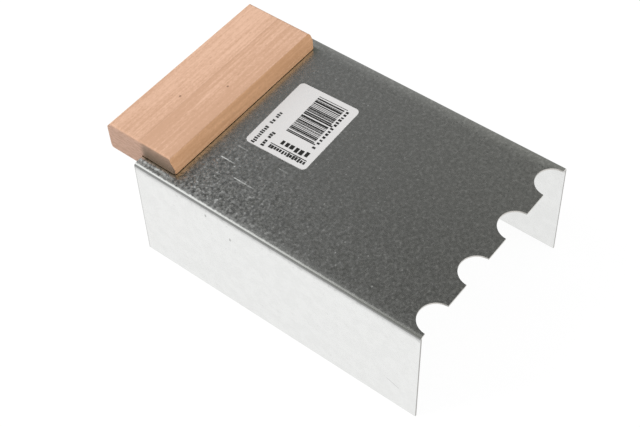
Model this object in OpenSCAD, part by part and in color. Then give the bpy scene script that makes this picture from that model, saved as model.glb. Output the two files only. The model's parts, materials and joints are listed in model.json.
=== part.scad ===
// Notched adhesive scoop: a folded sheet with a comb edge, nailed into a kerf in a wooden handle.
// It stands on the edges of its two side walls, with the comb toward -Y and the handle toward +Y.

/* [Sheet] */
// Width across the two folds
web_width = 100; // [80:1:200]
// Length from the comb edge to the edge inside the handle
sheet_length = 140; // [90:1:260]
// Height of the side walls, up to the top of the web
wall_height = 53; // [30:1:90]
// Thickness of the galvanised sheet
sheet_thickness = 0.8; // [0.6:0.1:2]
// Inside radius of the two folds
fold_radius = 0.6; // [0.4:0.1:3]
// Angle by which each side wall leans outwards, in degrees
wall_lean = 1.5; // [0:0.5:8]

/* [Comb] */
// Diameter of the punch that cuts the half-round notches
notch_diameter = 15; // [8:0.5:20]
// Number of notches along the comb edge
notch_count = 4; // [2:1:6]
// Width of the narrow tooth left at each end of the comb
corner_tooth = 2.5; // [2:0.1:10]

/* [Handle] */
// Depth of the wooden block, from its front face to its back face
handle_depth = 37.9; // [26:0.1:60]
// Thickness of the block
handle_thickness = 15; // [13:0.5:24]
// Length of web left bare between each fold's curve and the end of the block
handle_inset = 3.8; // [1:0.1:20]
// Rise of the rounded front face over its edges
front_bow = 2.5; // [0.5:0.1:4]
// Rise of the rounded back face, which the palm holds, over its edges
back_bow = 3.1; // [0.5:0.1:4]
// Rounding of the block's long edges
arris_radius = 0.8; // [0.4:0.1:2.5]
// Rounding of the block's end edges
end_radius = 1.4; // [0.4:0.1:3]
// Rounding of the two upright corners at the front
front_corner_radius = 1.2; // [0.5:0.1:8]
// Rounding of the two upright corners at the back
back_corner_radius = 2.5; // [0.5:0.1:8]

/* [Kerf] */
// Length of sheet that sits in the saw kerf
grip_length = 17.8; // [10:0.1:22]
// Thickness of wood below the kerf
lower_jaw = 6.3; // [4:0.1:8]
// Gap left above the sheet in the kerf
kerf_gap = 0.4; // [0.1:0.1:1]
// Gap left behind the sheet's edge in the kerf
kerf_end_gap = 0.3; // [0.1:0.1:2]

/* [Nails] */
// Diameter of each nail's shank
nail_diameter = 1.6; // [1:0.1:2.5]
// Diameter of each nail's flat head
nail_head_diameter = 3.4; // [2.8:0.1:6]
// Thickness of each nail's head, which is driven flush
nail_head_thickness = 0.5; // [0.3:0.1:1.2]
// Length of each nail's tapered point
nail_point_length = 2; // [1:0.1:3]
// Thickness of wood left above the points
nail_cover = 3; // [1:0.1:5]
// Distance from the ends of the block to the outer nails
nail_end_margin = 13; // [8:0.5:25]
// Gap around the nails, in the wood and in the sheet
nail_fit = 0.02; // [0.01:0.01:0.1]

/* [Label] */
// Size of the paper label across the web
label_width = 39.4; // [20:0.1:60]
// Size of the paper label along the web
label_length = 29.9; // [15:0.1:40]
// Thickness of the paper label
label_thickness = 0.15; // [0.1:0.01:0.4]
// Rounding of the label's corners
label_corner_radius = 2; // [0.5:0.1:6]
// Angle by which the label is stuck on askew, in degrees
label_turn = 1.9; // [-10:0.1:10]
// Distance from the front of the block to the back edge of the label, before it is turned
label_gap = 9.1; // [4:0.1:30]
// Distance from the middle of the web to the middle of the label
label_offset = 6.5; // [-10:0.1:10]

/* [Hidden] */
$fn = 96;

// How far a cutter runs past the faces that it cuts
cut_margin = 1;

// Lengths along Y, with the comb edge and the back of the block equally far from the origin
total_length = sheet_length - grip_length + handle_depth;
comb_y = -total_length / 2;
sheet_back_y = comb_y + sheet_length;
block_front_y = sheet_back_y - grip_length;
block_middle_y = block_front_y + handle_depth / 2;

// Heights, with the side walls standing on Z = 0
web_top = wall_height;
web_bottom = web_top - sheet_thickness;
block_bottom = web_bottom - lower_jaw;
block_middle = block_bottom + handle_thickness / 2;
kerf_width = sheet_thickness + kerf_gap;

// Folds: the axis of the right one, which the left one mirrors
outer_fold_radius = fold_radius + sheet_thickness;
fold_x = web_width / 2 - outer_fold_radius;
fold_z = web_top - outer_fold_radius;
// Length along the leaning wall that takes it past the ground, where it is cut off level
wall_run = fold_z / cos(wall_lean) + cut_margin;

// Comb: the notches' centres lie on the comb edge
tooth_width = (web_width - 2 * corner_tooth - notch_count * notch_diameter) / (notch_count - 1);
notch_pitch = notch_diameter + tooth_width;
notch_xs = [for (i = [0:notch_count - 1]) (i - (notch_count - 1) / 2) * notch_pitch];

// Block: each bowed face is an arc that an arris arc meets smoothly at each end
handle_length = 2 * (fold_x - handle_inset);
arris_height = handle_thickness / 2 - arris_radius;
function bow_radius(bow) = (pow(handle_thickness / 2, 2) + pow(bow, 2)) / (2 * bow);
function bow_centre(bow) = handle_depth / 2 - bow_radius(bow);
function bow_height(bow) = arris_height * bow_radius(bow) / (bow_radius(bow) - arris_radius);
function arris_centre(bow) =
    bow_centre(bow) + sqrt(pow(bow_radius(bow) - arris_radius, 2) - pow(arris_height, 2));

// Nails: driven up from below, through the middle of the gripped strip
nail_length = handle_thickness - nail_cover;
nail_y = block_front_y + grip_length / 2;
nail_x = handle_length / 2 - nail_end_margin;
nail_xs = [-nail_x, 0, nail_x];

// Outline of the flat web, seen along the sheet's length
module web_outline() {
    translate([-fold_x, web_bottom])
        square([2 * fold_x, sheet_thickness]);
}

// Outline of the right fold: a ring that ends where the web and the wall begin
module fold_outline() {
    reach = 2 * outer_fold_radius;
    intersection() {
        translate([fold_x, fold_z])
            difference() {
                circle(r = outer_fold_radius);
                circle(r = fold_radius);
            }
        translate([fold_x, fold_z - reach])
            square([reach, 2 * reach]);
        along_wall()
            translate([-reach, 0])
                square([2 * reach, reach]);
    }
}

// Outline of the right wall, which runs past the ground
module wall_outline() {
    along_wall()
        translate([fold_radius, -wall_run])
            square([sheet_thickness, wall_run]);
}

// Turns an outline about the right fold's axis, so that its own Y runs up the leaning wall
module along_wall() {
    translate([fold_x, fold_z])
        rotate(wall_lean)
            children();
}

// Runs an outline over the sheet's whole length
module along_sheet() {
    translate([0, sheet_back_y, 0])
        rotate([90, 0, 0])
            linear_extrude(height = sheet_length)
                children();
}

// The sheet after folding, before its comb and nail holes are cut
module folded_sheet() {
    along_sheet()
        web_outline();
    for (side = [0, 1])
        mirror([side, 0, 0]) {
            along_sheet()
                fold_outline();
            along_sheet()
                wall_outline();
        }
}

// Round holes for the nails, through everything from one height to another
module nail_holes(diameter, from_z, to_z) {
    for (x = nail_xs)
        translate([x, nail_y, from_z])
            cylinder(d = diameter + 2 * nail_fit, h = to_z - from_z);
}

module scoop_sheet() {
    color("lightslategray")
    difference() {
        folded_sheet();
        for (x = notch_xs)
            translate([x, comb_y, web_bottom - cut_margin])
                cylinder(d = notch_diameter, h = sheet_thickness + 2 * cut_margin);
        nail_holes(nail_diameter, web_bottom - cut_margin, web_top + cut_margin);
        translate([-web_width, comb_y - cut_margin, -web_width])
            cube([2 * web_width, sheet_length + 2 * cut_margin, web_width]);
    }
}

// Rectangle with round corners, about the origin
module rounded_rectangle(width, height, radius) {
    square([width, height - 2 * radius], center = true);
    square([width - 2 * radius, height], center = true);
    for (x = [-1, 1], y = [-1, 1])
        translate([x * (width / 2 - radius), y * (height / 2 - radius)])
            circle(r = radius);
}

// One bowed face and the two rounded long edges beside it, seen from the block's end
module bowed_side(side, bow) {
    intersection() {
        translate([side * bow_centre(bow), 0])
            circle(r = bow_radius(bow));
        square([handle_depth, 2 * bow_height(bow)], center = true);
    }
    for (level = [-1, 1])
        translate([side * arris_centre(bow), level * arris_height])
            circle(r = arris_radius);
}

// The block seen from its end: the front face to the left, and the back face to the right
module block_end() {
    translate([-arris_centre(front_bow), -handle_thickness / 2])
        square([arris_centre(front_bow) + arris_centre(back_bow), handle_thickness]);
    bowed_side(-1, front_bow);
    bowed_side(1, back_bow);
}

// The block seen from above: the front face below, and the back face above
module block_top() {
    translate([-handle_length / 2, front_corner_radius - handle_depth / 2])
        square([handle_length, handle_depth - front_corner_radius - back_corner_radius]);
    for (side = [-1, 1]) {
        radius = side < 0 ? front_corner_radius : back_corner_radius;
        translate([radius - handle_length / 2, side < 0 ? -handle_depth / 2 : 0])
            square([handle_length - 2 * radius, handle_depth / 2]);
        for (end = [-1, 1])
            translate([end * (handle_length / 2 - radius), side * (handle_depth / 2 - radius)])
                circle(r = radius);
    }
}

// The whole block before it is sawn: its top, front and end outlines, each run through the others
module block_blank() {
    intersection() {
        linear_extrude(height = handle_thickness, center = true)
            block_top();
        rotate([90, 0, 0])
            linear_extrude(height = handle_depth, center = true)
                rounded_rectangle(handle_length, handle_thickness, end_radius);
        rotate([90, 0, 90])
            linear_extrude(height = handle_length, center = true)
                block_end();
    }
}

module handle_block() {
    color("burlywood")
    difference() {
        translate([0, block_middle_y, block_middle])
            block_blank();
        translate([-web_width / 2, block_front_y - cut_margin, web_bottom])
            cube([web_width, cut_margin + grip_length + kerf_end_gap, kerf_width]);
        nail_holes(nail_diameter, block_bottom - cut_margin, block_bottom + nail_length);
        nail_holes(nail_head_diameter, block_bottom - cut_margin, block_bottom + nail_head_thickness);
    }
}

// Flat-headed nail, standing on its head
module nail(x) {
    color("silver")
    translate([x, nail_y, block_bottom])
        rotate_extrude()
            polygon([
                [0, 0],
                [nail_head_diameter / 2, 0],
                [nail_head_diameter / 2, nail_head_thickness],
                [nail_diameter / 2, nail_head_thickness],
                [nail_diameter / 2, nail_length - nail_point_length],
                [0, nail_length]
            ]);
}

module nail_left() {
    nail(nail_xs[0]);
}

module nail_middle() {
    nail(nail_xs[1]);
}

module nail_right() {
    nail(nail_xs[2]);
}

module paper_label() {
    color("white")
    translate([label_offset, block_front_y - label_gap - label_length / 2, web_top])
        rotate(label_turn)
            linear_extrude(height = label_thickness)
                rounded_rectangle(label_width, label_length, label_corner_radius);
}

scoop_sheet();
handle_block();
nail_left();
nail_middle();
nail_right();
paper_label();
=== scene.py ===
"""Looks for the notched adhesive scoop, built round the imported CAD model.

The folded sheet, the block, the nails and the label are the CAD model's own nodes with procedural
materials. Only the label's generic print is added. Lengths are in metres unless a name says otherwise,
and a texture's scale is in cells per metre.
"""
import json
import math
import random

import bpy
from mathutils import Matrix, Vector
from mathutils.bvhtree import BVHTree
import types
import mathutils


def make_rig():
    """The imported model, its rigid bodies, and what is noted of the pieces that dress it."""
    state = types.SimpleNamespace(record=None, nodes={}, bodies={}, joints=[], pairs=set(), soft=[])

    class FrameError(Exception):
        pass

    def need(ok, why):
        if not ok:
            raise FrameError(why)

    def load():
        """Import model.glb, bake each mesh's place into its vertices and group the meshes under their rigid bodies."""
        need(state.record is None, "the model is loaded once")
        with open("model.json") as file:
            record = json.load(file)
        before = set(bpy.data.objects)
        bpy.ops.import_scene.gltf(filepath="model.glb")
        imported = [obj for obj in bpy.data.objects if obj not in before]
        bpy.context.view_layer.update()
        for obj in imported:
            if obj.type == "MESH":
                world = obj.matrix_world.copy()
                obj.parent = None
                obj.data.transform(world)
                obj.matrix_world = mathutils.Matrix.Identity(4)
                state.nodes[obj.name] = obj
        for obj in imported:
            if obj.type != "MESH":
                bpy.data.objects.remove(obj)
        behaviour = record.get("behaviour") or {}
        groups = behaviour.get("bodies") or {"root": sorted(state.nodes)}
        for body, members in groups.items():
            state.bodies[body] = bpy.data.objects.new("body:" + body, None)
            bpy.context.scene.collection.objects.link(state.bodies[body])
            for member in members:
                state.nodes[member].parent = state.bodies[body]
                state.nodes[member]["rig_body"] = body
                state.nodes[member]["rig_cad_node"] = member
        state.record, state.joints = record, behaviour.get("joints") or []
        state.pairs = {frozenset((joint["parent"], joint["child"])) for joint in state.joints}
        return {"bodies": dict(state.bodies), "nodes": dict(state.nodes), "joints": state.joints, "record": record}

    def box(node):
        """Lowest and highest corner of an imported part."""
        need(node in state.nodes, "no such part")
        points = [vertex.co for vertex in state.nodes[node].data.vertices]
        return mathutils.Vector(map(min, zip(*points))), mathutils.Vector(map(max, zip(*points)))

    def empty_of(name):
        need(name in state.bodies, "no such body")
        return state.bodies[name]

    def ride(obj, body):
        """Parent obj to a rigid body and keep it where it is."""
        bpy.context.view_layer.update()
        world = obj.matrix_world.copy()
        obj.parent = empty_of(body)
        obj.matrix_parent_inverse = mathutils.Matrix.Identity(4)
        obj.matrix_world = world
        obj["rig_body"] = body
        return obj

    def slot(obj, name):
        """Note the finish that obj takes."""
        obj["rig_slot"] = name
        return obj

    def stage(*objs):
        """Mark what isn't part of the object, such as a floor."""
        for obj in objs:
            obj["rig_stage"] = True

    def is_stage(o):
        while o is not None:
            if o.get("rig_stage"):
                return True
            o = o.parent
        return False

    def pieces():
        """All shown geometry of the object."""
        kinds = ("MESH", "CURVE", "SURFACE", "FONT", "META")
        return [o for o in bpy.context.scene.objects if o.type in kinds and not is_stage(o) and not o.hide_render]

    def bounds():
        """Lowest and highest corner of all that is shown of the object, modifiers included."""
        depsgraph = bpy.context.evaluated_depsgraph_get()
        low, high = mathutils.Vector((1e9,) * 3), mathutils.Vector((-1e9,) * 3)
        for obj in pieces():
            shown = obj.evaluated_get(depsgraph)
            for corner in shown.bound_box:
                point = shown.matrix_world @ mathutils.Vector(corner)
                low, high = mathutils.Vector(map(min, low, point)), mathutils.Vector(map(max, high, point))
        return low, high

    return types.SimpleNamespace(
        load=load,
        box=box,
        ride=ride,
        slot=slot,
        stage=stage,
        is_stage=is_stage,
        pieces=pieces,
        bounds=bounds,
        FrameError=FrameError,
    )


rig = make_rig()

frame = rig.load()
cad_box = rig.bounds()
nodes = frame["nodes"]
MM = 0.001

# ---------------------------------------------------------------- image points
# Where things show in the photograph's frame, in its pixels from the top left corner
FRAME_WIDTH = 640
FRAME_HEIGHT = 427
FRAME_LONG = max(FRAME_WIDTH, FRAME_HEIGHT)
IMAGE_POINTS = {
    "object_left": (107.4, 126.5),
    "object_right": (566.5, 169.3),
    "object_top": (249.9, 4.0),
    "object_bottom": (415.1, 416.5),
    "wall_rear_foot": (150.0, 247.0),
    "right_wall_front_foot": (553.5, 246.5),
    "sheet_front_left": (420.5, 338.5),
    "notch_first": (416.0, 318.5),
    "notch_last": (534.0, 182.6),
    "block_front_left": (169.5, 159.0),
    "block_front_right": (307.8, 34.2),
    "label_middle": (303.6, 125.5),
    "label_bars": (316.2, 120.0),
    "wood_fleck_left": (180.1, 96.1),
    "wood_fleck_right": (227.7, 86.4),
    "scratch_rear": (227.9, 159.8),
    "scratch_front": (243.8, 183.3),
    "wall_speck_rear": (205.4, 215.8),
    "wall_speck_middle": (230.0, 240.0),
    "wall_scratch": (392.8, 383.2),
}

# ---------------------------------------------------------------- camera
# The camera is fitted to the sheet's edges and corners in the photograph
CAMERA_AIM = Vector((-26.02, -15.98, 53.0)) * MM
CAMERA_DISTANCE = 489.2 * MM
CAMERA_AZIMUTH = -49.71
CAMERA_ELEVATION = 50.91
CAMERA_ROLL = 3.13
CAMERA_LENS_MM = 71.4
SENSOR_WIDTH_MM = 36.0


def make_camera():
    """The photograph's camera: azimuth 0 looks along +Y, and a positive roll turns the camera clockwise."""
    azimuth = math.radians(CAMERA_AZIMUTH)
    elevation = math.radians(CAMERA_ELEVATION)
    back = Vector((
        math.sin(azimuth) * math.cos(elevation),
        -math.cos(azimuth) * math.cos(elevation),
        math.sin(elevation),
    ))
    data = bpy.data.cameras.new("camera")
    data.lens = CAMERA_LENS_MM
    data.sensor_fit = "AUTO"
    data.sensor_width = SENSOR_WIDTH_MM
    data.clip_start = 0.01
    data.clip_end = 100
    camera = bpy.data.objects.new("camera", data)
    bpy.context.scene.collection.objects.link(camera)
    aim = (-back).to_track_quat("-Z", "Y").to_matrix()
    roll = Matrix.Rotation(-math.radians(CAMERA_ROLL), 3, "Z")
    turn = (aim @ roll).to_4x4()
    camera.matrix_world = Matrix.Translation(CAMERA_AIM + back * CAMERA_DISTANCE) @ turn
    bpy.context.scene.camera = camera
    bpy.context.view_layer.update()
    return camera


camera = make_camera()


def to_image(point):
    """Where a point shows in the photograph's frame."""
    seen = camera.matrix_world.inverted() @ Vector(point)
    scale = FRAME_LONG * camera.data.lens / camera.data.sensor_width / -seen.z
    return (
        FRAME_WIDTH / 2 - camera.data.shift_x * FRAME_LONG + seen.x * scale,
        FRAME_HEIGHT / 2 + camera.data.shift_y * FRAME_LONG - seen.y * scale,
    )


def finished_mesh(piece):
    """A piece's vertices as finished and placed, and its faces."""
    shown = piece.evaluated_get(bpy.context.evaluated_depsgraph_get())
    mesh = shown.to_mesh()
    corners = [piece.matrix_world @ v.co for v in mesh.vertices]
    faces = [tuple(p.vertices) for p in mesh.polygons]
    shown.to_mesh_clear()
    return corners, faces


def surface_tree(piece):
    """A piece's finished surface, as a tree that rays can meet."""
    return BVHTree.FromPolygons(*finished_mesh(piece))


def place(name, tree):
    """The point of a surface that shows at an image point, or the one nearest to its ray."""
    x, y = IMAGE_POINTS[name]
    across = x - FRAME_WIDTH / 2 + camera.data.shift_x * FRAME_LONG
    up = FRAME_HEIGHT / 2 - y + camera.data.shift_y * FRAME_LONG
    depth = FRAME_LONG * camera.data.lens / camera.data.sensor_width
    ray = (camera.matrix_world.to_3x3() @ Vector((across, up, -depth))).normalized()
    start = camera.matrix_world.translation
    hit = tree.ray_cast(start, ray)[0]
    if hit is None:
        steps = [start + ray * (CAMERA_DISTANCE * (0.5 + i / 400)) for i in range(400)]
        hit = min((tree.find_nearest(p) for p in steps), key=lambda found: found[3])[0]
    return hit


# ---------------------------------------------------------------- node trees
class Nodes:
    """Short calls that add nodes to one node tree and give back their outputs."""

    def __init__(self, tree):
        self.tree = tree
        tree.nodes.clear()

    def add(self, kind, inputs=None, **settings):
        node = self.tree.nodes.new("ShaderNode" + kind)
        for name, value in settings.items():
            setattr(node, name, value)
        for socket, value in (inputs or {}).items():
            self.put(node.inputs[socket], value)
        return node

    def put(self, socket, value):
        if isinstance(value, bpy.types.NodeSocket):
            self.tree.links.new(value, socket)
        else:
            socket.default_value = value

    def math(self, operation, a, b=0.0):
        return self.add("Math", {0: a, 1: b}, operation=operation).outputs[0]

    def plus(self, first, *others):
        for other in others:
            first = self.math("ADD", first, other)
        return first

    def times(self, first, *others):
        for other in others:
            first = self.math("MULTIPLY", first, other)
        return first

    def most(self, a, b):
        return self.math("MAXIMUM", a, b)

    def size(self, value):
        return self.math("ABSOLUTE", value)

    def vector(self, operation, a, b=(0, 0, 0)):
        node = self.add("VectorMath", {0: a, 1: b}, operation=operation)
        return node.outputs["Value" if operation in ("LENGTH", "DOT_PRODUCT") else "Vector"]

    def stretched(self, vector, x, y, z):
        return self.vector("MULTIPLY", vector, (x, y, z))

    def scaled(self, vector, factor):
        node = self.add("VectorMath", {0: vector, "Scale": factor}, operation="SCALE")
        return node.outputs["Vector"]

    def parts(self, vector):
        """A vector's X, Y and Z."""
        return self.add("SeparateXYZ", {0: vector}).outputs

    def along(self, axis, value):
        """A vector that points along one axis."""
        return self.add("CombineXYZ", {axis: value}).outputs[0]

    def ramp(self, value, low, high, at_low=0.0, at_high=1.0):
        """A smooth step from at_low to at_high as the value goes from low to high."""
        inputs = {"Value": value, "From Min": low, "From Max": high, "To Min": at_low, "To Max": at_high}
        return self.add("MapRange", inputs, interpolation_type="SMOOTHSTEP").outputs["Result"]

    def nearing(self, value, edge, far, near, at_far=0.0, at_near=1.0):
        """A smooth step as a value nears an edge from below, between two distances from the edge."""
        return self.ramp(value, edge - far, edge - near, at_far, at_near)

    def rest(self, share):
        """What a share leaves of one."""
        return self.math("SUBTRACT", 1.0, share)

    def mix(self, factor, a, b):
        """A colour between a and b."""
        return self.add("Mix", {0: factor, 6: a, 7: b}, data_type="RGBA").outputs[2]

    def noise(self, vector, scale, detail=2.0, roughness=0.5):
        inputs = {"Vector": vector, "Scale": scale, "Detail": detail, "Roughness": roughness}
        return self.add("TexNoise", inputs).outputs[0]

    def cells(self, vector, scale):
        """Random cells: the distance to the nearest middle, and a colour for each cell."""
        return self.add("TexVoronoi", {"Vector": vector, "Scale": scale}).outputs

    def place(self):
        """The point of the surface, in the CAD model's frame."""
        return self.add("TexCoord").outputs["Object"]

    def normal(self):
        return self.add("NewGeometry").outputs["Normal"]

    def line(self, centre, way, half_length, half_width):
        """One inside a thin straight line that fades at its ends, and zero outside it."""
        away = self.vector("SUBTRACT", self.place(), tuple(centre))
        along = self.vector("DOT_PRODUCT", away, way)
        across = self.vector("LENGTH", self.vector("SUBTRACT", away, self.scaled(way, along)))
        ends = self.ramp(self.size(along), 0.6 * half_length, half_length, 1.0, 0.0)
        return self.times(ends, self.ramp(across, 0.4 * half_width, half_width, 1.0, 0.0))

    def near(self, centre, radii):
        """The distance from a centre as a share of the radii, along X, Y and Z."""
        away = self.vector("SUBTRACT", self.place(), tuple(centre))
        return self.vector("LENGTH", self.stretched(away, *(1 / r for r in radii)))


def new_material(name):
    material = bpy.data.materials.new(name)
    material.use_nodes = True
    return material, Nodes(material.node_tree)


def finish_material(n, **inputs):
    """Ends a material in a Principled shader: keyword names stand for its sockets."""
    sockets = {key.replace("_", " ").title(): value for key, value in inputs.items()}
    shader = n.add("BsdfPrincipled", sockets)
    n.add("OutputMaterial", {"Surface": shader.outputs[0]})


def dress(names, material):
    """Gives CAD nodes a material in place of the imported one."""
    for name in names:
        data = nodes[name].data
        data.materials.clear()
        data.materials.append(material)


# The span that holds nearly all of a noise
WIDE_SPAN = (0.3, 0.7)

# ---------------------------------------------------------------- galvanised sheet
SHEET_LOW, SHEET_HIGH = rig.box("scoop_sheet")
BLOCK_LOW, BLOCK_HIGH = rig.box("handle_block")
# Half the width of the flat web, and the folds' outer radius, as in the part's source
FOLD_HALF = 48.6 * MM
FOLD_RADIUS = 1.4 * MM
BEND_Z = SHEET_HIGH.z - FOLD_RADIUS

ZINC_WALL = (0.815, 0.82, 0.81, 1)
ZINC_LIGHT = (1.0, 1.0, 0.995, 1)
ZINC_DARK = (0.82, 0.825, 0.815, 1)
ZINC_SHADE = (0.40, 0.405, 0.41, 1)
ZINC_STAIN = (0.36, 0.36, 0.35, 1)
# Dirt by the kerf, darkened further as painted contact shadow under the block
KERF_DIRT_AND_SHADE = (0.40, 0.43, 0.31, 1)
PUNCHED_STEEL = (0.62, 0.60, 0.57, 1)
SHEARED_STEEL = (0.36, 0.345, 0.33, 1)

# A face starts to count as flat, upright or cut at the first of these parts of its normal along an
# axis, and fully counts at the second
FLAT_FACING = (0.93, 0.99)
UPRIGHT_FACING = (0.90, 0.99)
CUT_FACING = (0.04, 0.15)
# The rear left corner of the web: where it fades out along X and in along Y, and its least share
CORNER_X = (-48.0 * MM, 12.0 * MM)
CORNER_Y = (-30.0 * MM, 45.0 * MM)
CORNER_LEAST = 0.35
# How much calmer the crystals are by the block and by the folds
CALM = 0.75

# Noises as scale, detail and roughness, and the span of each in which its tone changes
LEAN_NOISE = {"Scale": 660.0, "Detail": 1.0}
FLECK_NOISE = (700.0, 1.0, 0.5)
FLECK_SPAN = (0.53, 0.69)
SHADE_NOISE = (720.0, 1.0, 0.5)
SHADE_SPAN = (0.36, 0.52)
WEB_CLOUD_NOISE = (150.0, 2.0, 0.5)
WALL_CLOUD_NOISE = (210.0, 3.0, 0.6)
WALL_CLOUD_SPAN = (0.38, 0.62)
GRIT_NOISE = (420.0, 5.0, 0.7)
GRIT_SPAN = (0.60, 0.76)
SKIN_NOISE = (1500.0, 2.0, 0.5)
SKIN_ROUGHNESS = (0.14, 0.20)

# How far normals lean, as the tangent of the angle
PLAIN_LEAN = 0.13
CORNER_LEAN = 1.05
CRYSTAL_SHAPE = (1.0, 0.35, 0.0)
GLINT_SCALE = 480.0
GLINT_SPAN = (0.12, 0.24)
GLINT_LEAN = (-0.24, 0, 0)
ROLL_LEAN = 0.10
CREASE_LEAN = 0.06
STRIP_LEAN = 0.21
WALL_LEAN = 0.30
DIP_LEAN = -0.055

SCRATCH_WAY = (0, 1, 0)
SCRATCH_WIDTH = 0.40 * MM
SCRATCH_LEAN = (-0.38, 0, 0)
# How deep a scratch is at its front end, beside its rear end
SCRATCH_FRONT = 0.6
# Two fainter scratches, by how far each is from the clear one beside it
FAINT_REAR = Vector((8.4, -0.9, 0)) * MM
FAINT_FRONT = Vector((14.2, -8.7, 0)) * MM
FAINT = 0.72
SPECK_RADII = (0.8 * MM, 0.6 * MM, 1.1 * MM)
RUB_WAY = (0, 0.94, 0.34)
RUB_LENGTH = 4.0 * MM
RUB_WIDTH = 0.3 * MM
# A spot is full inside the first share of its radii and gone outside the second
SPOT_EDGE = (0.2, 1.2)


class SheetPlaces:
    """Shares from 0 to 1 that say which part of the sheet a point is on."""

    def __init__(self, n):
        self.where = n.place()
        self.at = n.parts(self.where)
        self.facing = n.parts(n.normal())
        self.from_middle = n.size(self.at["X"])
        # The flat web, and the walls
        self.flat = n.ramp(n.size(self.facing["Z"]), *FLAT_FACING)
        self.upright = n.ramp(n.size(self.facing["X"]), *UPRIGHT_FACING)
        # The rear left of the web, where the crystals stand out most
        left = n.ramp(self.at["X"], *CORNER_X, 1.0, 0.0)
        rear = n.ramp(self.at["Y"], *CORNER_Y)
        self.corner = n.times(left, n.plus(CORNER_LEAST, n.times(rear, 1 - CORNER_LEAST)))
        # The web away from the block and the folds
        by_block = n.nearing(self.at["Y"], BLOCK_LOW.y, far=9.0 * MM, near=2.0 * MM)
        by_fold = n.nearing(self.from_middle, FOLD_HALF, far=2.5 * MM, near=0.8 * MM)
        self.open = n.times(self.flat, n.rest(n.times(n.most(by_block, by_fold), CALM)))


def crystal_lean(n, on):
    """Crystals lean a little sideways, and a few small ones lean enough to glint."""
    lean = n.add("TexNoise", {"Vector": on.where, **LEAN_NOISE}).outputs["Color"]
    lean = n.stretched(n.vector("SUBTRACT", lean, (0.5, 0.5, 0.5)), *CRYSTAL_SHAPE)
    strength = n.plus(PLAIN_LEAN, n.times(on.corner, CORNER_LEAN))
    lean = n.scaled(lean, n.times(on.open, strength))
    crystals = n.cells(on.where, GLINT_SCALE)
    glint = n.times(n.ramp(crystals["Distance"], *GLINT_SPAN, 1.0, 0.0), on.open)
    glint = n.times(glint, n.parts(crystals["Color"])["X"])
    return n.vector("ADD", lean, n.scaled(GLINT_LEAN, glint))


def bend_lean(n, on):
    """The web rolls off toward each fold, and each wall still turns upright just below it."""
    roll = n.nearing(on.from_middle, FOLD_HALF, 6.0 * MM, 0.0, 0.0, ROLL_LEAN)
    crease = n.nearing(on.from_middle, FOLD_HALF, 1.4 * MM, 0.0, 0.0, CREASE_LEAN)
    # Beside the ends of the block, the strip between block and fold is pressed down a little
    strip = n.ramp(on.from_middle, BLOCK_HIGH.x + 0.3 * MM, BLOCK_HIGH.x + 2.0 * MM, 0.0, STRIP_LEAN)
    strip = n.times(strip, n.ramp(on.at["Y"], BLOCK_LOW.y - 4.0 * MM, BLOCK_LOW.y + 3.0 * MM))
    strip = n.times(strip, n.nearing(on.from_middle, FOLD_HALF, 1.8 * MM, 0.5 * MM, 1.0, 0.0))
    roll = n.times(n.plus(roll, crease, strip), on.flat)
    outward = n.along("X", n.times(n.math("SIGN", on.at["X"]), roll))
    turn = n.times(on.upright, n.nearing(on.at["Z"], BEND_Z, 4.0 * MM, 0.0, 0.0, WALL_LEAN))
    return n.vector("ADD", outward, n.along("Z", turn))


def sheet_normal(n, on, scratches):
    """The sheet's normal with its crystals, bends, dip and scratches."""
    crystals = crystal_lean(n, on)
    tilt = bend_lean(n, on)
    # The web dips a little toward the kerf
    dip = n.nearing(on.at["Y"], BLOCK_LOW.y, 9.0 * MM, 1.5 * MM, 0.0, DIP_LEAN)
    tilt = n.vector("ADD", tilt, n.along("Y", n.times(on.flat, dip)))
    # Scratches along the sheet's length: they smooth the crystals, and lean to the left, most at the rear
    for centre, half_length, depth in scratches:
        groove = n.line(centre, SCRATCH_WAY, half_length, SCRATCH_WIDTH)
        crystals = n.scaled(crystals, n.rest(groove))
        span = (centre.y - half_length, centre.y + half_length)
        fade = n.ramp(on.at["Y"], *span, SCRATCH_FRONT * depth, depth)
        tilt = n.vector("ADD", tilt, n.scaled(SCRATCH_LEAN, n.times(groove, fade)))
    return n.vector("NORMALIZE", n.vector("ADD", n.normal(), n.vector("ADD", tilt, crystals)))


def sheet_stain(n, on, specks, wall_scratch):
    """How stained the zinc is: grit, most of it below the folds, faint clouds, specks and one rub."""
    below_fold = n.nearing(on.at["Z"], BEND_Z, 5.0 * MM, 0.0, 0.0, 0.13)
    grit = n.plus(n.times(on.upright, below_fold), n.noise(on.where, *GRIT_NOISE))
    stain = n.ramp(grit, *GRIT_SPAN, 0.0, 0.28)
    cloud = n.ramp(n.noise(on.where, *WALL_CLOUD_NOISE), *WALL_CLOUD_SPAN, 0.0, 0.06)
    stain = n.most(stain, n.times(on.upright, cloud))
    for centre in specks:
        stain = n.most(stain, n.ramp(n.near(centre, SPECK_RADII), *SPOT_EDGE, 0.85, 0.0))
    rub = n.line(wall_scratch, RUB_WAY, RUB_LENGTH, RUB_WIDTH)
    stain = n.most(stain, n.times(rub, 0.45))
    # A thin burr along the walls' rear edge
    burr = n.nearing(on.at["Y"], SHEET_HIGH.y, 0.6 * MM, 0.2 * MM, 0.0, 0.6)
    return n.most(stain, n.times(on.upright, burr))


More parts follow.
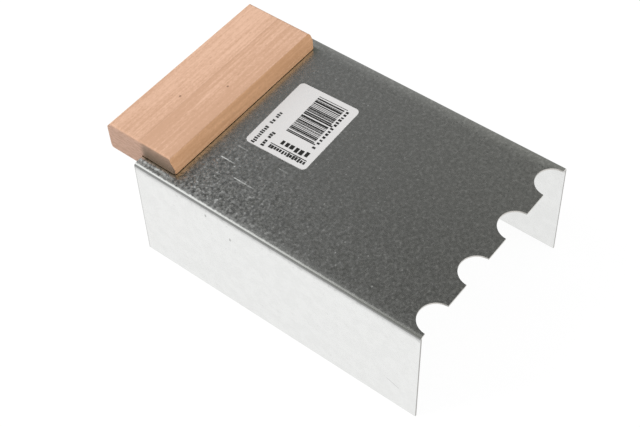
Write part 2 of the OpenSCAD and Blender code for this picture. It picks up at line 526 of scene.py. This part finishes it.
def sheet_colour(n, on, cut, specks, wall_scratch):
    """Zinc in small light and dark crystals, its stains, dirt and painted contact shadow by the kerf, and bare cut
    edges.
    """
    cloud = n.times(n.noise(on.where, *WEB_CLOUD_NOISE), 0.08)
    fleck = n.plus(n.noise(on.where, *FLECK_NOISE), cloud, n.times(on.corner, 0.05))
    colour = n.mix(n.ramp(fleck, *FLECK_SPAN), ZINC_DARK, ZINC_LIGHT)
    shade = n.ramp(n.noise(on.where, *SHADE_NOISE), *SHADE_SPAN, 0.85, 0.0)
    colour = n.mix(n.times(shade, on.corner), colour, ZINC_SHADE)
    colour = n.mix(on.flat, ZINC_WALL, colour)
    colour = n.mix(sheet_stain(n, on, specks, wall_scratch), colour, ZINC_STAIN)

    # Dirt along the kerf in front of the block, darkened further as painted contact shadow
    dirt_and_shade = n.nearing(on.at["Y"], BLOCK_LOW.y, 4.0 * MM, 0.5 * MM, 0.0, 0.55)
    dirt_and_shade = n.times(dirt_and_shade, n.math("LESS_THAN", on.from_middle, BLOCK_HIGH.x + 0.6 * MM), on.flat)
    colour = n.mix(dirt_and_shade, colour, KERF_DIRT_AND_SHADE)

    steel = n.mix(n.math("LESS_THAN", on.at["Z"], BEND_Z), PUNCHED_STEEL, SHEARED_STEEL)
    return n.mix(cut, colour, steel)


def galvanised(scratches, specks, wall_scratch):
    """Hot-dipped zinc: a bright, uneven skin of small crystals, worn and stained a little."""
    material, n = new_material("galvanised_steel")
    on = SheetPlaces(n)
    cut = n.ramp(n.size(on.facing["Y"]), *CUT_FACING)
    skin = n.ramp(n.noise(on.where, *SKIN_NOISE), *WIDE_SPAN, *SKIN_ROUGHNESS)
    # The web is duller than the walls, and the cut edges are duller still
    roughness = n.plus(skin, n.times(on.flat, 0.08), n.times(cut, 0.2))
    finish_material(
        n,
        base_color=sheet_colour(n, on, cut, specks, wall_scratch),
        metallic=1.0,
        roughness=roughness,
        normal=sheet_normal(n, on, scratches),
    )
    return material


# ---------------------------------------------------------------- beech
BEECH_LIGHT = (0.825, 0.528, 0.375, 1)
BEECH_DARK = (0.64, 0.383, 0.248, 1)
BEECH_LINE = (0.50, 0.29, 0.185, 1)
# Darker, more orange copies of the wood for the front and back faces: painted shade with a painted warm bounce
BEECH_SIDE_SHADED = (0.745, 0.435, 0.25, 1)
BEECH_SIDE_SHADED_DARK = (0.58, 0.316, 0.166, 1)
BEECH_END = (0.55, 0.35, 0.26, 1)
BEECH_END_DARK = (0.44, 0.27, 0.19, 1)
# Painted shade for the ends of the block over the sheet
BEECH_PAINTED_SHADE = (0.145, 0.11, 0.075, 1)
FLECK_DARK = (0.20, 0.10, 0.06, 1)
FLECK_RADII = (0.66 * MM, 0.55 * MM, 0.55 * MM)
FLECK_EDGE = (0.3, 1.2)
# The ring line's place between the front and the back of the block, and how far it wanders
RING_SHARE = 0.495
RING_DRIFT = 1.6 * MM

# The grain's textures: how far each is drawn out along X, Y and Z, then scale, detail and roughness
BANDS = ((0.06, 1, 1), 170.0, 2.0, 0.5)
STREAKS = ((0.035, 1, 1), 850.0, 2.0, 0.5)
FUZZ = ((0.50, 1, 1), 1500.0, 2.0, 0.6)
DRIFT = ((1, 0, 0), 25.0, 2.0, 0.5)
END_POINTS = ((1, 0.25, 1), 1500.0, 3.0, 0.6)
# The share of the bands, the streaks and the fuzz in the grain's tone
BANDS_SHARE = 0.22
STREAKS_SHARE = 0.42
FUZZ_SHARE = 0.36
TOP_SPAN = (0.33, 0.65)
SIDE_SPAN = (0.32, 0.68)
END_SPAN = (0.36, 0.62)
# A face starts to count as a side or an end at the first of these parts of its normal, as above
SIDE_FACING = (0.45, 0.75)
END_FACING = (0.55, 0.85)
# Where the painted shade on the block's ends starts and where it is full
END_SHADE_FACING = (0.50, 0.85)


def beech(flecks):
    """Planed beech, grain along X: soft bands, fine streaks, one ring line, pores and a few dark flecks."""
    material, n = new_material("beech")
    where = n.place()
    at = n.parts(where)
    facing = n.parts(n.normal())

    def grain(shape, *noise):
        """A noise that is drawn out along the grain."""
        return n.noise(n.stretched(where, *shape), *noise)

    # Bands and streaks, drawn out along the grain
    streaks = grain(*STREAKS)
    fuzz = grain(*FUZZ)
    tone = n.plus(
        n.times(grain(*BANDS), BANDS_SHARE),
        n.times(streaks, STREAKS_SHARE),
        n.times(fuzz, FUZZ_SHARE),
    )

    # A ring line about halfway across the top, a little darker in front of it
    drift = n.times(grain(*DRIFT), RING_DRIFT)
    ring_y = BLOCK_LOW.y + RING_SHARE * (BLOCK_HIGH.y - BLOCK_LOW.y) - RING_DRIFT / 2
    beyond = n.math("SUBTRACT", at["Y"], n.plus(drift, ring_y))
    tone = n.plus(tone, n.ramp(beyond, -0.4 * MM, 0.5 * MM, -0.045, 0.035))
    ring = n.ramp(n.size(beyond), 0.0, 0.45 * MM, 0.35, 0.0)

    # The top is a little paler toward the right, and the sides are a little paler near the sheet: painted light from
    # the sheet below them
    paler = n.ramp(at["X"], BLOCK_LOW.x, BLOCK_HIGH.x, -0.085, 0.0)
    top = n.mix(n.ramp(n.plus(tone, paler), *TOP_SPAN), BEECH_DARK, BEECH_LIGHT)
    top = n.mix(ring, top, BEECH_LINE)
    painted_sheet_light = n.ramp(at["Z"], SHEET_HIGH.z + 1.0 * MM, SHEET_HIGH.z + 5.0 * MM, 0.02, 0.0)
    # The front and back faces take the darker, more orange copy of the wood: painted shade with a painted warm bounce
    shaded_side = n.mix(n.ramp(n.plus(tone, painted_sheet_light), *SIDE_SPAN), BEECH_SIDE_SHADED_DARK, BEECH_SIDE_SHADED)
    colour = n.mix(n.ramp(n.size(facing["Y"]), *SIDE_FACING), top, shaded_side)

    # End grain: fine points, drawn out a little across the end
    end = n.mix(n.ramp(grain(*END_POINTS), *END_SPAN), BEECH_END_DARK, BEECH_END)
    colour = n.mix(n.ramp(n.size(facing["X"]), *END_FACING), colour, end)

    # Ray flecks and pores
    rays = n.cells(n.stretched(where, 0.5, 1, 1), 330.0)["Distance"]
    colour = n.mix(n.ramp(rays, 0.05, 0.15, 0.45, 0.0), colour, BEECH_LINE)
    pores = n.cells(n.stretched(where, 0.3, 1, 1), 1700.0)["Distance"]
    pores = n.ramp(pores, 0.10, 0.26, 0.16, 0.0)
    colour = n.mix(pores, colour, BEECH_LINE)

    # Painted shade on the ends of the block over the sheet, darkest near the sheet, where the sheet keeps light from
    # below off the wood
    painted_end_shade = n.ramp(at["Y"], SHEET_HIGH.y - 2.5 * MM, SHEET_HIGH.y + 1.2 * MM, 1.0, 0.0)
    painted_end_shade = n.times(painted_end_shade, n.ramp(at["Z"], SHEET_HIGH.z + 2.0 * MM, BLOCK_HIGH.z, 0.82, 0.58))
    painted_end_shade = n.times(painted_end_shade, n.math("GREATER_THAN", at["Z"], SHEET_HIGH.z))
    painted_end_shade = n.times(painted_end_shade, n.ramp(n.size(facing["X"]), *END_SHADE_FACING))
    colour = n.mix(painted_end_shade, colour, BEECH_PAINTED_SHADE)

    for centre in flecks:
        spot = n.ramp(n.near(centre, FLECK_RADII), *FLECK_EDGE, 0.8, 0.0)
        colour = n.mix(spot, colour, FLECK_DARK)
    height = n.math("SUBTRACT", n.times(n.plus(streaks, fuzz), 0.5), pores)
    bump = n.add("Bump", {"Height": height, "Strength": 0.2, "Distance": 0.08 * MM}).outputs[0]
    finish_material(n, base_color=colour, roughness=n.ramp(fuzz, *WIDE_SPAN, 0.58, 0.70), normal=bump)
    return material


# ---------------------------------------------------------------- nails
NAIL_DULL = (0.42, 0.42, 0.42, 1)
NAIL_BRIGHT = (0.6, 0.6, 0.6, 1)


def nail_steel():
    """Bright drawn wire, dull in places."""
    material, n = new_material("nail_steel")
    wear = n.noise(n.place(), 1800.0, 3.0)
    colour = n.mix(n.ramp(wear, 0.35, 0.65), NAIL_DULL, NAIL_BRIGHT)
    finish_material(n, base_color=colour, metallic=1.0, roughness=n.ramp(wear, *WIDE_SPAN, 0.25, 0.45))
    return material


# ---------------------------------------------------------------- label
PAPER_DULL = (0.71, 0.70, 0.695, 1)
PAPER_WHITE = (0.76, 0.75, 0.745, 1)
INK_BLACK = (0.012, 0.012, 0.012, 1)
INK_GREY = (0.035, 0.035, 0.033, 1)


def label_paper():
    """Coated white paper with a faint tooth."""
    material, n = new_material("label_paper")
    tooth = n.noise(n.place(), 2500.0, 3.0)
    colour = n.mix(n.ramp(tooth, *WIDE_SPAN), PAPER_DULL, PAPER_WHITE)
    bump = n.add("Bump", {"Height": tooth, "Strength": 0.15, "Distance": 0.05 * MM}).outputs[0]
    finish_material(n, base_color=colour, roughness=0.45, normal=bump)
    return material


def label_ink():
    """Black thermal print, uneven as such print is."""
    material, n = new_material("label_ink")
    patchy = n.ramp(n.noise(n.place(), 3500.0, 2.0), 0.35, 0.7)
    finish_material(n, base_color=n.mix(patchy, INK_BLACK, INK_GREY), roughness=0.5)
    return material


# ---------------------------------------------------------------- label print
# The bars' sizes are in millimetres, and they stand for no number
PRINT_SEED = 7
PRINT_RISE = 0.02 * MM
BAR_MODULE = 0.245
BAR_COUNT = 95
BAR_LENGTH = 13.5
GUARD_LENGTH = 1.0
INK_SPREAD = 0.09
# Each row of small print: start, end, middle and height in mm, pitch in mm, and the printed share of it
ROWS_ALONG = (
    (-19.0, -8.2, 11.8, 2.0, 1.2, 0.64),
    (-6.4, -3.6, 11.8, 1.9, 1.4, 0.62),
    (-2.6, 1.2, 11.8, 1.9, 1.25, 0.60),
    (-18.4, -14.4, 7.7, 1.9, 1.3, 0.72),
    (-13.4, -9.2, 7.7, 1.9, 1.35, 0.72),
    (-8.1, -6.2, -10.8, 1.8, 1.9, 0.58),
    (-5.2, 6.2, -10.8, 1.8, 1.9, 0.58),
    (6.6, 16.8, -10.8, 1.8, 1.7, 0.60),
)
ROWS_UPRIGHT = (
    (-12.7, 6.0, -16.5, 2.2, 1.3, 0.76),
    (-11.4, 3.0, -12.3, 3.2, 2.4, 0.66),
)
RULE = (-15.25, -14.8, -12.6, 5.4)


def label_axes():
    """Unit vectors along the label's longer and shorter sides."""
    corners = [v.co for v in nodes["paper_label"].data.vertices]
    centre = sum(corners, Vector()) / len(corners)
    xx = sum((c.x - centre.x) ** 2 for c in corners)
    yy = sum((c.y - centre.y) ** 2 for c in corners)
    xy = sum((c.x - centre.x) * (c.y - centre.y) for c in corners)
    turn = 0.5 * math.atan2(2 * xy, xx - yy)
    return Vector((math.cos(turn), math.sin(turn), 0)), Vector((-math.sin(turn), math.cos(turn), 0))


def bar_marks(chance):
    """A row of bars of random widths, about its middle: each mark is (u0, u1, v0, v1) in mm."""
    marks = []
    at = 0
    while at < BAR_COUNT:
        width = min(chance.choice((1, 1, 2, 2, 3, 4)), BAR_COUNT - at)
        long = at < 3 or 44 <= at <= 49 or at > BAR_COUNT - 4
        low = -BAR_LENGTH / 2 - (GUARD_LENGTH if long else 0.0)
        u = (at - BAR_COUNT / 2) * BAR_MODULE
        marks.append((u, u + width * BAR_MODULE + INK_SPREAD, low, BAR_LENGTH / 2))
        at += width + chance.choice((1, 1, 1, 2, 2, 3))
    return marks


def tick_marks(chance, start, end, middle, height, pitch, share, upright=False):
    """A row of plain blocks from start to end, which stands for a line of small print."""
    marks = []
    for i in range(round((end - start) / pitch)):
        dip, rise = (height * chance.choice((0.36, 0.36, 0.5)) for _ in range(2))
        at = start + pitch * i
        mark = (at, at + pitch * share * chance.uniform(0.85, 1.2), middle - dip, middle + rise)
        marks.append(mark[2:] + mark[:2] if upright else mark)
    return marks


def print_mesh(name, anchor, marks, material):
    """A piece of thin closed slabs on the label, placed from a point of the label's face."""
    along, across = label_axes()
    corners = []
    faces = []
    for u0, u1, v0, v1 in marks:
        first = len(corners)
        for rise in (-PRINT_RISE, PRINT_RISE):
            for u, v in ((u0, v0), (u1, v0), (u1, v1), (u0, v1)):
                corners.append(anchor + (along * u + across * v) * MM + Vector((0, 0, rise)))
        for face in ((3, 2, 1, 0), (4, 5, 6, 7), (0, 1, 5, 4), (1, 2, 6, 5), (2, 3, 7, 6), (3, 0, 4, 7)):
            faces.append(tuple(first + i for i in face))
    mesh = bpy.data.meshes.new(name)
    mesh.from_pydata(corners, [], faces)
    mesh.materials.append(material)
    piece = bpy.data.objects.new(name, mesh)
    bpy.context.scene.collection.objects.link(piece)
    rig.ride(piece, "root")
    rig.slot(piece, "label_paper")
    return piece


def make_print(tree):
    """The label's print, kept generic: rows of blocks, a rule, and the bars, which are given back."""
    chance = random.Random(PRINT_SEED)
    bars = bar_marks(chance)
    rows = []
    for row in ROWS_ALONG:
        rows += tick_marks(chance, *row)
    for row in ROWS_UPRIGHT:
        rows += tick_marks(chance, *row, upright=True)
    rows.append(RULE)
    ink = label_ink()
    print_mesh("label_rows", place("label_middle", tree), rows, ink)
    return print_mesh("label_bars", place("label_bars", tree), bars, ink)


# ---------------------------------------------------------------- floor, world and lamps
FLOOR_HALF = 0.7
FLOOR_DROP = 0.05 * MM
FLOOR_WHITE = 0.93
FLOOR_PLAIN = (0.88, 0.88, 0.88, 1)
FLOOR_SHADED = (0.10, 0.10, 0.10, 1)
# How far from the middle the floor's reflection starts to dim, where it is dimmest, and by how much
FLOOR_FADE = (0.095, 0.24)
FLOOR_DIM = 0.7
WHITE = (1, 1, 1, 1)
# The sky's plain level at the horizon and overhead, and how high overhead starts
SKY_LEVELS = (0.28, 0.70)
SKY_TOP = 0.9
# Where metal sees the softbox, and the white table's edge, which is a little below the horizon
GLINT_WAY = Vector((-0.34, 0.62, 0.71)).normalized()
TABLE_EDGE = (-0.22, -0.20)
KEY_WAY = (-0.50, 0.68, 0.54)
FILL_WAY = (0.15, -0.97, 0.22)


def make_floor():
    """A pale table: white to the camera and in reflections, with a faint shadow, and open from below."""
    mesh = bpy.data.meshes.new("floor")
    corners = [(x * FLOOR_HALF, y * FLOOR_HALF, 0) for x, y in ((-1, -1), (1, -1), (1, 1), (-1, 1))]
    mesh.from_pydata(corners, [], [(0, 1, 2, 3)])
    floor = bpy.data.objects.new("floor", mesh)
    floor.location.z = -FLOOR_DROP
    bpy.context.scene.collection.objects.link(floor)
    material, n = new_material("pale_table")
    rays = n.add("LightPath").outputs
    shown = n.most(rays["Is Camera Ray"], n.most(rays["Is Glossy Ray"], rays["Is Transmission Ray"]))
    plain = n.add("BsdfDiffuse", {"Color": FLOOR_PLAIN}).outputs[0]
    thin = n.add("BsdfDiffuse", {"Color": FLOOR_SHADED}).outputs[0]
    far = n.ramp(n.size(n.parts(n.place())["X"]), *FLOOR_FADE, 0.0, FLOOR_DIM)
    far = n.times(rays["Is Glossy Ray"], far)
    strength = n.times(FLOOR_WHITE, n.rest(far))
    glow = n.add("Emission", {"Color": WHITE, "Strength": strength}).outputs[0]
    lit = n.add("AddShader", {0: thin, 1: glow}).outputs[0]
    top = n.add("MixShader", {0: shown, 1: plain, 2: lit}).outputs[0]
    below = n.add("NewGeometry").outputs["Backfacing"]
    clear = n.add("BsdfTransparent").outputs[0]
    whole = n.add("MixShader", {0: below, 1: top, 2: clear}).outputs[0]
    n.add("OutputMaterial", {"Surface": whole})
    mesh.materials.append(material)
    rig.stage(floor)


def room_in_metal(n, way, at):
    """What metal sees: a dim room that is lighter in places, one softbox, and white from below."""
    toward = n.vector("DOT_PRODUCT", way, tuple(GLINT_WAY))

    def lobe(outer, inner, level):
        """A round light, full within the inner angle of the softbox and gone at the outer one."""
        return n.ramp(toward, math.cos(math.radians(outer)), math.cos(math.radians(inner)), 0.0, level)

    behind = n.ramp(at["Y"], 0.15, 0.65, 0.052, 0.145)
    right = n.ramp(at["X"], 0.47, 0.80, 0.0, 0.15)
    left = n.ramp(at["X"], -0.90, -0.60, 0.13, 0.0)
    front = n.ramp(at["Y"], -0.35, 0.12, 0.30, 0.0)
    softbox = n.plus(lobe(50, 26, 0.20), lobe(25, 15, 0.72))
    softbox = n.times(softbox, n.ramp(at["Y"], 0.34, 0.48, 0.33, 1.0))
    level = n.plus(behind, right, left, front, softbox)
    level = n.ramp(at["Z"], *TABLE_EDGE, 1.0, level)
    blue = n.times(level, n.ramp(at["Y"], 0.30, 0.50, 0.935, 0.995))
    return n.add("CombineColor", {"Red": level, "Green": n.times(level, 1.01), "Blue": blue}).outputs[0]


def make_world():
    """White behind the object, a plain level on it, and the room that its metal sees."""
    world = bpy.data.worlds.new("studio")
    world.use_nodes = True
    bpy.context.scene.world = world
    n = Nodes(world.node_tree)
    rays = n.add("LightPath").outputs
    way = n.add("TexCoord").outputs["Generated"]
    at = n.parts(way)
    sky = n.ramp(at["Z"], 0.0, SKY_TOP, *SKY_LEVELS)
    plain = n.add("CombineColor", {"Red": sky, "Green": sky, "Blue": sky}).outputs[0]
    colour = n.mix(rays["Is Glossy Ray"], plain, room_in_metal(n, way, at))
    colour = n.mix(n.most(rays["Is Camera Ray"], rays["Is Transmission Ray"]), colour, WHITE)
    background = n.add("Background", {"Color": colour, "Strength": 1.0})
    n.add("OutputWorld", {"Surface": background.outputs[0]})


def make_lamp(name, way, distance, size, power):
    """A square softbox that looks at the object from one direction."""
    data = bpy.data.lights.new(name, "AREA")
    data.shape = "SQUARE"
    data.size = size
    data.energy = power
    lamp = bpy.data.objects.new(name, data)
    bpy.context.scene.collection.objects.link(lamp)
    way = Vector(way).normalized()
    lamp.location = way * distance
    lamp.rotation_mode = "QUATERNION"
    lamp.rotation_quaternion = way.to_track_quat("Z", "Y")
    lamp.visible_glossy = False


# ---------------------------------------------------------------- build
block_tree = surface_tree(nodes["handle_block"])
sheet_tree = surface_tree(nodes["scoop_sheet"])
label_tree = surface_tree(nodes["paper_label"])
placed = {name: place(name, block_tree) for name in ("wood_fleck_left", "wood_fleck_right")}
for name in ("scratch_rear", "scratch_front", "wall_speck_rear", "wall_speck_middle", "wall_scratch"):
    placed[name] = place(name, sheet_tree)
# Each scratch: its middle, half its length, and how deep it is beside the clearest ones
scratches = [
    (placed["scratch_rear"], 4.6 * MM, 1.0),
    (placed["scratch_front"], 6.8 * MM, 1.0),
    (placed["scratch_rear"] + FAINT_REAR, 3.2 * MM, FAINT),
    (placed["scratch_front"] + FAINT_FRONT, 3.4 * MM, FAINT),
]
specks = [placed["wall_speck_rear"], placed["wall_speck_middle"]]
dress(["scoop_sheet"], galvanised(scratches, specks, placed["wall_scratch"]))
dress(["handle_block"], beech([placed["wood_fleck_left"], placed["wood_fleck_right"]]))
dress(["nail_left", "nail_middle", "nail_right"], nail_steel())
dress(["paper_label"], label_paper())
label_bars = make_print(label_tree)
make_floor()
make_world()
make_lamp("key", KEY_WAY, distance=3.0, size=2.0, power=68.0)
make_lamp("fill", FILL_WAY, distance=1.4, size=0.9, power=10.0)
bpy.context.scene.view_settings.view_transform = "Standard"


# ---------------------------------------------------------------- reports
def seen_vertices(piece, trees):
    """The finished vertices of a piece that no surface hides from the camera."""
    eye = camera.matrix_world.translation
    seen = []
    for point in finished_mesh(piece)[0]:
        ray = point - eye
        reach = ray.length - 0.1 * MM
        if all(tree.ray_cast(eye, ray.normalized(), reach)[0] is None for tree in trees):
            seen.append(point)
    return seen


def middle(points):
    """The middle of what shows of some points, in the photograph's frame."""
    xs, ys = zip(*(to_image(point) for point in points))
    return (min(xs) + max(xs)) / 2, (min(ys) + max(ys)) / 2


def shown_points():
    """Where each named thing shows in the finished scene, in the photograph's frame."""
    trees = [sheet_tree, block_tree, label_tree]
    sheet = seen_vertices(nodes["scoop_sheet"], trees)
    block = seen_vertices(nodes["handle_block"], trees)
    outline = [to_image(point) for point in sheet + block]
    # The comb's rim on the web's upper face, behind the teeth's tips
    rim = [p for p in sheet if p.z > SHEET_HIGH.z - 0.01 * MM and 1.0 * MM < p.y - SHEET_LOW.y < 10.0 * MM]
    shown = {name: to_image(point) for name, point in placed.items()}
    shown["object_left"] = min(outline)
    shown["object_right"] = max(outline)
    shown["object_top"] = min(outline, key=lambda p: p[1])
    shown["object_bottom"] = max(outline, key=lambda p: p[1])
    shown["notch_first"] = min(to_image(p) for p in rim if p.x < SHEET_LOW.x / 2)
    shown["notch_last"] = min(to_image(p) for p in rim if p.x > SHEET_HIGH.x / 2)
    for name, points, way in (
        ("wall_rear_foot", sheet, (-1, 1, -1)),
        ("right_wall_front_foot", sheet, (1, -1, -1)),
        ("sheet_front_left", sheet, (-1, -2, 1)),
        ("block_front_left", block, (-1, -1, 3)),
        ("block_front_right", block, (1, -1, 3)),
    ):
        shown[name] = to_image(max(points, key=Vector(way).dot))
    shown["label_middle"] = middle(seen_vertices(nodes["paper_label"], trees))
    shown["label_bars"] = middle(seen_vertices(label_bars, trees))
    return shown


def points_off(shown):
    """How far in x and y each thing shows from its image point."""
    off = {}
    for name, (x, y) in IMAGE_POINTS.items():
        off[name] = [round(shown[name][0] - x, 2), round(shown[name][1] - y, 2)]
    return off


def write_json(path, value):
    with open(path, "w") as handle:
        json.dump(value, handle, indent=1)


write_json("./points.json", points_off(shown_points()))
write_json("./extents.json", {
    "cad": [list(corner) for corner in cad_box],
    "visual": [list(corner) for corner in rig.bounds()],
})
